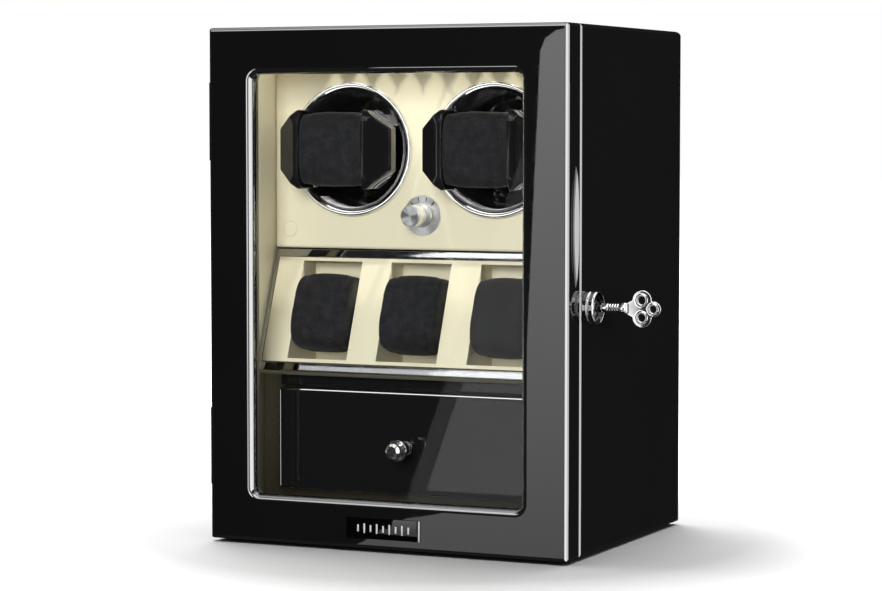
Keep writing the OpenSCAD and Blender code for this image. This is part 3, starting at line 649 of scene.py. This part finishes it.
def badge_plate():
    """Gloss plate with one bright edge and a plain row of silver bars."""
    low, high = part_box("badge")
    centre = (low + high) / 2
    black, silver = 0, 1
    bright_edge = 1.1 * MM
    bars, pitch, half_width, short, tall = 9, 4.4 * MM, 0.6 * MM, 2.2 * MM, 3.1 * MM
    shape = bmesh.new()

    def block(corner_a, corner_b, edge, material):
        """A cuboid between two corners with rounded edges."""
        size = Vector(corner_b) - Vector(corner_a)
        matrix = (Matrix.Translation((Vector(corner_a) + Vector(corner_b)) / 2)
                  @ Matrix.Diagonal((*size, 1)))
        made = bmesh.ops.create_cube(shape, size=1.0, matrix=matrix)
        edges = {e for v in made["verts"] for e in v.link_edges}
        done = bmesh.ops.bevel(shape, geom=list(edges), offset=edge, segments=2, profile=0.5,
                               affect="EDGES", clamp_overlap=True)
        for corner in done["verts"]:
            for side_face in corner.link_faces:
                side_face.material_index = material

    block(low, (high.x - bright_edge, high.y, high.z), 0.15 * MM, black)
    block((high.x - bright_edge, low.y - 0.05 * MM, low.z), high, 0.2 * MM, silver)
    for i in range(bars):
        x = centre.x + (i - (bars - 1) / 2) * pitch
        up = tall if i % 2 else short
        block((x - half_width, low.y - 0.08 * MM, centre.z - up),
              (x + half_width, low.y + 0.1 * MM, centre.z + up), 0.1 * MM, silver)
    badge = new_piece("badge_plate", shape, ["badge_black", "silver_print"], "door",
                      ("badge",))
    badge.data.set_sharp_from_angle(angle=math.radians(40))


# ---------------------------------------------------------------- stage, light, camera
def pale_floor():
    """A floor lit by the lamps round the box, where the shadow lies, with a painted glow that
    grows from none at one radius to full white at another, further out.
    """
    shape = bmesh.new()
    bmesh.ops.create_grid(shape, x_segments=8, y_segments=8, size=12.0)
    floor = stage_mesh("floor", shape)
    f = Finish("pale_floor", (0.9, 0.9, 0.9), 0.8)
    f.drive("Base Color", f.blend(f.noise(3, 2), (0.9, 0.9, 0.9), (0.93, 0.93, 0.93)))
    f.set("Specular IOR Level", 0.1)
    # Painted light: emission that grows with the distance from the middle and whitens the floor
    # beyond the shadow
    away = f.add("ShaderNodeVectorMath", operation="LENGTH")
    f.link(f.place, away.inputs[0])
    f.set("Emission Color", (1, 1, 1, 1))
    f.drive("Emission Strength", f.ranged(away.outputs["Value"], SHADOW_ENDS,
                                         FLOOR_WHITE, 0.0, 1.0))
    floor.data.materials.append(f.material)
    floor.visible_glossy = False
    floor.visible_transmission = False
    floor.visible_diffuse = False
    return floor


def stage_mesh(name, shape):
    """An object of the studio, which isn't part of the box."""
    mesh = bpy.data.meshes.new(name)
    shape.to_mesh(mesh)
    shape.free()
    item = bpy.data.objects.new(name, mesh)
    bpy.context.scene.collection.objects.link(item)
    return item


def background(tree, strength):
    """A white world shader of a fixed strength or one driven by a socket."""
    shader = tree.nodes.new("ShaderNodeBackground")
    shader.inputs["Color"].default_value = (1, 1, 1, 1)
    if isinstance(strength, float):
        shader.inputs["Strength"].default_value = strength
    else:
        tree.links.new(strength, shader.inputs["Strength"])
    return shader.outputs[0]


def either(tree, factor, no, yes):
    """One of two shaders, by a factor socket."""
    mix = tree.nodes.new("ShaderNodeMixShader")
    for socket, source in zip(mix.inputs, (factor, no, yes)):
        tree.links.new(source, socket)
    return mix.outputs[0]


def studio_air():
    """White to the camera and a faint fill for matt surfaces; polish sees a dark room
    with a bright ceiling."""
    world = bpy.data.worlds.new("studio_air")
    bpy.context.scene.world = world
    world.use_nodes = True
    tree = world.node_tree
    tree.nodes.clear()
    rays = tree.nodes.new("ShaderNodeLightPath")
    coordinate = tree.nodes.new("ShaderNodeTexCoord")
    split = tree.nodes.new("ShaderNodeSeparateXYZ")
    tree.links.new(coordinate.outputs["Generated"], split.inputs["Vector"])
    ceiling = tree.nodes.new("ShaderNodeMapRange")
    for key, value in (("From Min", 0.62), ("From Max", 0.9), ("To Min", 0.02), ("To Max", 0.9)):
        ceiling.inputs[key].default_value = value
    tree.links.new(split.outputs["Z"], ceiling.inputs["Value"])
    matt = either(tree, rays.outputs["Is Glossy Ray"], background(tree, 0.1),
                  background(tree, ceiling.outputs["Result"]))
    shown = either(tree, rays.outputs["Is Camera Ray"], matt, background(tree, 1.0))
    output = tree.nodes.new("ShaderNodeOutputWorld")
    tree.links.new(shown, output.inputs["Surface"])


def only_for(light, name, pieces):
    """The light reaches these objects and no others."""
    group = bpy.data.collections.new(name)
    for item in pieces:
        group.objects.link(item)
    light.light_linking.receiver_collection = group


def lamp(name, place, target, size, watts, colour=(1, 1, 1), glossy=True):
    """A rectangular lamp at a place, facing a target, never seen by the camera itself."""
    data = bpy.data.lights.new(name, "AREA")
    data.shape = "RECTANGLE"
    data.size, data.size_y = size
    data.energy = watts
    data.color = colour
    light = bpy.data.objects.new(name, data)
    bpy.context.scene.collection.objects.link(light)
    light.location = place
    face(light, target)
    light.visible_camera = False
    light.visible_glossy = glossy
    return light


def face(thing, target):
    """Turns a lamp or the camera towards a place."""
    thing.rotation_mode = "QUATERNION"
    way = Vector(target) - thing.location
    thing.rotation_quaternion = way.to_track_quat("-Z", "Y")


def around(azimuth, elevation, distance, centre):
    """A place at a bearing from a centre: azimuth 0 is in front, 90 on the right."""
    a, e = math.radians(azimuth), math.radians(elevation)
    way = Vector((math.sin(a) * math.cos(e), -math.cos(a) * math.cos(e), math.sin(e)))
    return Vector(centre) + way * distance


def floor_light(floor):
    """A soft sky over the floor, set back a little, so that the box's shadow gathers in
    front of it and on its right."""
    x, y, height = -1.6, 1.3, 2.6
    sky = lamp("floor_sky", (x, y, height), (x, y, 0), (5.0, 4.0), 180, glossy=False)
    only_for(sky, "sky_for_floor", [floor])


def glow(name, strength, low_z=None, high_z=None, low_strength=None):
    """Light without a body: emission, fixed or growing with height, that lets the rays
    of other pieces pass."""
    material = bpy.data.materials.new(name)
    material.use_nodes = True
    tree = material.node_tree
    tree.nodes.clear()
    shader = tree.nodes.new("ShaderNodeEmission")
    shader.inputs["Strength"].default_value = strength
    if low_z is not None:
        coordinate = tree.nodes.new("ShaderNodeTexCoord")
        split = tree.nodes.new("ShaderNodeSeparateXYZ")
        fade = tree.nodes.new("ShaderNodeMapRange")
        for key, value in (("From Min", low_z), ("From Max", high_z),
                           ("To Min", low_strength), ("To Max", strength)):
            fade.inputs[key].default_value = value
        tree.links.new(coordinate.outputs["Object"], split.inputs["Vector"])
        tree.links.new(split.outputs["Z"], fade.inputs["Value"])
        tree.links.new(fade.outputs["Result"], shader.inputs["Strength"])
    clear = tree.nodes.new("ShaderNodeBsdfTransparent")
    both = tree.nodes.new("ShaderNodeAddShader")
    tree.links.new(shader.outputs[0], both.inputs[0])
    tree.links.new(clear.outputs[0], both.inputs[1])
    output = tree.nodes.new("ShaderNodeOutputMaterial")
    tree.links.new(both.outputs[0], output.inputs["Surface"])
    return material


def hang(name, shape, material, receivers):
    """Makes a glowing sheet that only the listed pieces mirror."""
    sheet = stage_mesh(name, shape)
    sheet.data.materials.append(material)
    sheet.visible_camera = False
    sheet.visible_shadow = False
    sheet.visible_diffuse = False
    only_for(sheet, name + "_for", receivers)


def flat_card(name, outline, material, receivers, y=CARD_Y):
    """A card in front of the box, from its outline in X and Z."""
    shape = bmesh.new()
    shape.faces.new([shape.verts.new((x, y, z)) for x, z in outline])
    hang(name, shape, material, receivers)


def curved_wall(name, azimuths, elevations, material, receivers, distance=WALL_DISTANCE):
    """A strip of wall round the box between bearings and between elevations."""
    start, end = azimuths
    low, high = elevations
    steps = max(2, round((end - start) / 8))
    turned = [start + (end - start) * i / steps for i in range(steps + 1)]
    shape = bmesh.new()
    rows = [[shape.verts.new(around(a, e, distance, CENTRE)) for a in turned]
            for e in (low, (low + high) / 2, high)]
    for under, over in zip(rows, rows[1:]):
        for i in range(steps):
            shape.faces.new((under[i], under[i + 1], over[i + 1], over[i]))
    hang(name, shape, material, receivers)


def front_cards():
    """The softbox the front mirrors on its right-hand part. The frame and the glass each
    have their own outline of it."""
    frame_outline = [
        (-0.448, 0.382), (-0.464, 0.379), (-0.478, 0.370), (-0.484, 0.356), (-0.488, 0.270),
        (-0.496, 0.100), (-0.501, -0.003), (-0.520, -0.150), (-0.612, -0.189), (-0.632, -0.193),
        (-0.655, -0.197), (-0.689, -0.213), (-0.712, -0.228), (-0.740, -0.240), (-0.800, -0.45),
        (-0.10, -0.45), (-0.10, 0.382)]
    flat_card("frame_card", frame_outline, glow("frame_glow", 3.6, -0.25, 0.36, 1.55),
              [NODES["door_frame"], piece("badge_plate")])
    glass_outline = [(-0.78, -0.49), (-0.44, 0.45), (-0.10, 0.45), (-0.10, -0.49)]
    flat_card("glass_card", glass_outline, glow("glass_glow", 0.95), [NODES["door_glass"]],
              y=CARD_Y - 0.01)


def high_cards():
    """Softboxes above the front: the sloping frame of the tray mirrors three through the
    pane on its right-hand part, and the polished edges show two others as lines. Each row
    has the left ends of its lower and upper edge, the right end, both heights, the
    strength, how far it hangs before the other cards and the pieces that mirror it."""
    pane = [NODES["door_glass"]]
    lacquered = [NODES["door_frame"], NODES["cabinet_shell"], NODES["drawer_front"]]
    rail = [piece("drawer_rail_piece")]
    for card, light, under, over, right, low, high, strength, before, receivers in (
            ("high_card", "high_glow", -0.88, -0.87, 0.10, 1.33, 1.60, 2.2, 0.0, pane),
            ("mid_card", "mid_glow", -1.02, -1.01, 0.10, 1.11, 1.22, 1.0, 0.0, pane),
            ("mid_spark", "spark_glow", -0.79, -0.79, 0.10, 1.11, 1.22, 1.0, 0.01, pane),
            ("high_white", "white_glow", -1.30, -1.1, 0.40, 0.80, 2.2, 1.45, 0.02, lacquered),
            ("rail_white", "rail_glow", -1.30, -1.1, 0.40, 0.80, 2.2, 13.0, 0.03, rail)):
        outline = [(under, low), (over, high), (right, high), (right, low)]
        flat_card(card, outline, glow(light, strength), receivers, y=CARD_Y + before)


def side_walls():
    """Bright walls on the right, which light up the upright edges and the finger scoop.
    Each row has its bearings, its elevations, its strength and the pieces that mirror it."""
    door, cabinet = NODES["door_frame"], NODES["cabinet_shell"]
    tall, short = (-16, 14), (-12.8, 5.8)
    for name, bearings, elevations, strength, receivers in (
            ("door_low", (8, 20), tall, 0.55, [door]),
            ("door_high", (20, 68), tall, 2.2, [door]),
            ("cabinet_low", (8, 68), tall, 1.6, [cabinet]),
            ("both_side", (68, 125), tall, 1.45, [door, cabinet]),
            ("both_back", (125, 147), short, 0.75, [door, cabinet])):
        curved_wall(f"edge_wall_{name}", bearings, elevations,
                    glow(f"edge_glow_{name}", strength), receivers)


def metal_walls():
    """Room round the plated pieces outside: white walls with dark gaps between them.
    Those inside see narrow strips instead, since rays that leave through the pane count
    as the pane's and the strips show on all that is black and gloss behind it. Each row
    has the bearings, the elevations and the strength."""
    outside = [piece("key_cast"), piece("lock_housing_piece"), piece("lock_plug_piece")]
    room_distance = WALL_DISTANCE + 0.1
    for index, (bearings, elevations, strength) in enumerate((
            ((-85, -45), (-20, 50), 1.2), ((-18, 14), (10, 60), 1.6),
            ((30, 78), (-30, 55), 1.5), ((96, 147), (-10, 50), 1.2),
            ((-180, 180), (66, 89), 1.4), ((-60, 120), (-50, -34), 0.5))):
        curved_wall(f"room_wall_{index}", bearings, elevations,
                    glow(f"room_glow_{index}", strength), outside, distance=room_distance)
    curved_wall("key_wall", (-40, -14.8), (-20, 10), glow("key_glow", 1.2), outside[:2],
                distance=room_distance + 0.02)
    for index, (bearings, elevations, strength) in enumerate((
            ((-74, -62), (-20, 50), 3.0), ((-6, 4), (20, 60), 3.0),
            ((44, 56), (-20, 40), 3.0), ((-70, 70), (66, 85), 2.0))):
        curved_wall(f"pane_strip_{index}", bearings, elevations,
                    glow(f"pane_strip_glow_{index}", strength), [NODES["door_glass"]],
                    distance=room_distance - 0.02)


def all_but(light, name, pieces):
    """The light reaches everything except these objects."""
    only_for(light, name, pieces)
    for member in light.light_linking.receiver_collection.collection_objects:
        member.light_linking.link_state = "EXCLUDE"


def soft_lamps():
    """Even light for the cream pieces behind the glass, for the cushions and for the
    lacquer outside, a little for everything, and a strip for the left lining."""
    def far(name, azimuth, elevation, size, watts):
        """A large lamp on a bearing, facing the box."""
        return lamp(name, around(azimuth, elevation, LAMP_DISTANCE, CENTRE), CENTRE, size,
                    watts, glossy=False)

    even = far("inside_even", 12, 12, (0.8, 0.9), 48)
    only_for(even, "even_for", [NODES["winder_panel"], piece("led_button_piece"),
                                piece("dial_plate_piece"), piece("mode_knob_piece")])
    tray = far("tray_even", 4, 14, (1.3, 1.1), 46)
    pads = [item for item in bpy.data.objects if item.name.startswith(("storage_pad", "pillow"))
            and item not in NODES.values()]
    only_for(tray, "tray_even_for", [piece("storage_tray_piece"), piece("badge_plate"),
                                     NODES["drawer_front"], piece("drawer_rail_piece")] + pads)
    outer = far("outer_even", 45, 10, (1.3, 1.1), 45)
    only_for(outer, "outer_even_for", [NODES["door_frame"], NODES["cabinet_shell"]])
    shaded = [piece("linings_piece"), piece("drawer_surround_piece"), piece("mid_shelf_piece")]
    overhead = lamp("overhead", (0.1, -0.1, 2.4), CENTRE, (2.0, 2.0), 9, glossy=False)
    all_but(overhead, "overhead_not_for", shaded)
    behind = far("from_behind", 215, 32, (1.2, 1.2), 9)
    all_but(behind, "behind_not_for", shaded)
    low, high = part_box("linings")
    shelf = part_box("mid_shelf")[1].z
    in_front, aimed_at, middle_z = -78 * MM, -60 * MM, (shelf + high.z) / 2
    lining = lamp("lining_strip", (low.x + 25 * MM, in_front, middle_z),
                  (low.x, aimed_at, middle_z), (8 * MM, high.z - shelf - 20 * MM), 0.012,
                  glossy=False)
    only_for(lining, "lining_strip_for", [piece("linings_piece")])


def spun_lamps():
    """Three small lamps that draw the fans of light on the turned dial and knob."""
    dial = middle("dial_plate")
    spun = [piece("dial_plate_piece"), piece("mode_knob_piece")]
    for name, azimuth, elevation, watts in (("fan_high", -54, 27, 8.0), ("fan_low", 5, -3, 7.0),
                                            ("fan_side", 50, 15, 8.0)):
        fan = lamp(name, around(azimuth, elevation, FAN_DISTANCE, dial), dial, (0.25, 0.25),
                   watts)
        only_for(fan, name + "_for", spun)


def glints():
    """Narrow lamps behind the pane that draw a line of light on two edges of the drawer,
    and a wide one that whitens the rings."""
    low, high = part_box("drawer_front")
    near_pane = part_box("glass_bead")[1].y + 2 * MM
    above = 22 * MM
    top = lamp("drawer_top_glint", (0, near_pane, high.z + above), (0, high.y, high.z),
               (high.x - low.x, above), 0.035)
    beside = (low.x - 10.5 * MM, low.y - 12 * MM, (low.z + high.z) / 2)
    side = lamp("drawer_side_glint", beside, (low.x, low.y, beside[2]),
                (4 * MM, high.z - low.z), 0.0035)
    for name, glint in (("top", top), ("side", side)):
        glint.visible_diffuse = False
        only_for(glint, f"drawer_{name}_glint_for", [NODES["drawer_front"]])
    low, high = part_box("bezel_rings")
    rings = lamp("ring_glow", (0, near_pane, middle("bezel_rings").z), middle("bezel_rings"),
                 (high.x - low.x, high.z - low.z), 0.1)
    rings.visible_diffuse = False
    only_for(rings, "ring_glow_for", [NODES["bezel_rings"]])


def inside_lamps():
    """Warm light under the top board: a small lamp for each emitter, without those by the
    left lining, and a soft wash."""
    low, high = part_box("led_chips")
    lit = [NODES["winder_panel"], NODES["bezel_rings"], NODES["led_strip"],
           piece("storage_tray_piece"), piece("mode_knob_piece"), piece("dial_plate_piece")]
    lit += [piece(f"{name}_{side}{end}") for side in SIDES for name, end in (
        ("cup", "_piece"), ("pillow", "_pad"), ("pillow_caps", "_piece"))]
    for i in range(FIRST_LIT, EMITTERS):
        x = low.x + 2.5 * MM + (high.x - low.x - 5 * MM) * i / (EMITTERS - 1)
        place = Vector((x, high.y + 2 * MM, low.z - 0.3 * MM))
        on_panel = (x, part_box("winder_panel")[0].y, place.z - BEAM_DROP)
        light = lamp(f"emitter_{i:02d}", place, on_panel, (3 * MM, 2.5 * MM), BEAM_WATTS,
                     WARM_WHITE)
        light.data.spread = BEAM_WIDTH
        only_for(light, f"emitter_{i:02d}_for", lit)
    wash_place = (0, low.y - 20 * MM, high.z - 2 * MM)
    wash = lamp("wash", wash_place, (0, -0.03, 0.15), (190 * MM, 8 * MM), 0.025, WARM_WHITE,
                glossy=False)
    only_for(wash, "wash_for", [piece("linings_piece"), piece("storage_tray_piece")])


def photo_camera():
    """Long lens at the viewing angle: from the right and slightly above."""
    low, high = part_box("cabinet_shell")
    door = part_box("door_frame")[0]
    middle_of_box = Vector(((low.x + high.x) / 2, (door.y + high.y) / 2, (low.z + high.z) / 2))
    aim = middle_of_box + AIM_OFFSET
    data = bpy.data.cameras.new("camera")
    data.sensor_width = CAMERA_SENSOR
    data.lens = CAMERA_LENS
    camera = bpy.data.objects.new("camera", data)
    bpy.context.scene.collection.objects.link(camera)
    camera.location = around(CAMERA_BEARING, CAMERA_ELEVATION, CAMERA_DISTANCE, aim)
    face(camera, aim)
    bpy.context.scene.camera = camera


def film():
    """Plain display transform and light paths deep enough for glass and polish."""
    scene = bpy.context.scene
    scene.view_settings.view_transform = "Standard"
    scene.cycles.caustics_reflective = False
    scene.cycles.caustics_refractive = False
    scene.cycles.sample_clamp_indirect = 4.0
    scene.cycles.glossy_bounces = 6
    scene.cycles.transmission_bounces = 8


dress_packed_nodes()
for side in SIDES:
    winder_pillow(side)
    pillow_ends(side)
storage_pads()
cast_key()
badge_plate()
paint_details()
floor_light(pale_floor())
studio_air()
soft_lamps()
spun_lamps()
glints()
front_cards()
high_cards()
side_walls()
metal_walls()
inside_lamps()
photo_camera()
film()
